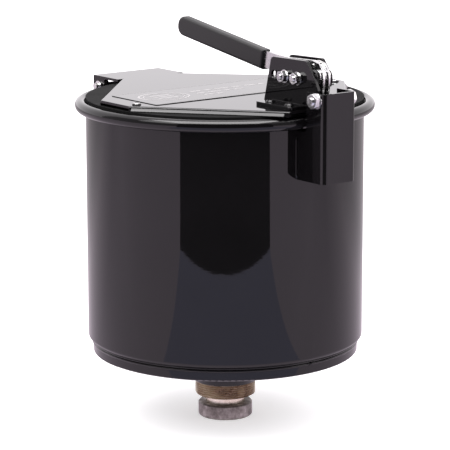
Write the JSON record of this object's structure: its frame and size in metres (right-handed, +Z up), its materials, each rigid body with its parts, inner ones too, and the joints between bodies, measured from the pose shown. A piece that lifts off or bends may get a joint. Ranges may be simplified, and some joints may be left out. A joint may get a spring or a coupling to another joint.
{
  "type": "oily waste can",
  "caption": "Cylindrical sheet steel can with a gasketed, latched hinged lid and a bottom drain outlet that screws into a threaded drum bung.",
  "frame": {"origin": "centre of the outlet bore's bottom face", "axes": "+Z up along the can, +X towards the latch, hinge towards -X, -Y towards the near side of the latch"},
  "size_m": [0.3415, 0.2938, 0.3956],
  "materials": {
    "black_paint": "gloss",
    "galvanised": "dull zinc",
    "thread_steel": "plated",
    "zinc_plate": "bright zinc",
    "rubber": "matte",
    "label": "satin",
    "vinyl_grip": "satin"
  },
  "bodies": {
    "can": {"outlet_cap": "galvanised", "outlet_nipple": "galvanised", "outlet_adapter": "thread_steel", "outlet_collar": "black_paint", "base_pan": "black_paint", "can_shell": "black_paint", "hinge_bracket": "black_paint", "hinge_pin": "zinc_plate", "hinge_clip": "zinc_plate", "latch_bracket": "black_paint", "keeper_bolt": "zinc_plate", "keeper_nut": "zinc_plate", "keeper_washer": "zinc_plate"},
    "lid": {"lid_plate": "black_paint", "backing_disc": "black_paint", "seal_disc": "rubber", "seal_retainer": "zinc_plate", "seal_studs": "zinc_plate", "seal_nuts": "zinc_plate", "corner_rivets": "zinc_plate", "foot_rivets": "black_paint", "label_plate": "label", "ear_near": "black_paint", "ear_far": "black_paint", "clamp_plate_near": "black_paint", "clamp_plate_far": "black_paint", "clamp_studs": "zinc_plate", "clamp_washers": "zinc_plate", "clamp_nuts": "zinc_plate", "stop_pin": "zinc_plate", "lever_pin": "zinc_plate", "pivot_spacers": "zinc_plate"},
    "lever": {"lever_bar": "zinc_plate", "grip": "vinyl_grip", "link_pin": "zinc_plate"},
    "link": {"link_strap_near": "zinc_plate", "link_strap_far": "zinc_plate", "hook_bar": "zinc_plate"}
  },
  "joints": [
    {"name": "lid_hinge", "type": "hinge", "parent": "can", "child": "lid", "pos_m": [-0.157, 0, 0.3185], "axis": [0, -1, 0], "range_deg": [0, 100]},
    {"name": "lever_pivot", "type": "hinge", "parent": "lid", "child": "lever", "pos_m": [0.147, 0, 0.3595], "axis": [0, 1, 0], "range_deg": [0, 75]},
    {"name": "link_swing", "type": "hinge", "parent": "lever", "child": "link", "pos_m": [0.139, 0, 0.368], "axis": [0, -1, 0], "range_deg": [0, 12]}
  ]
}
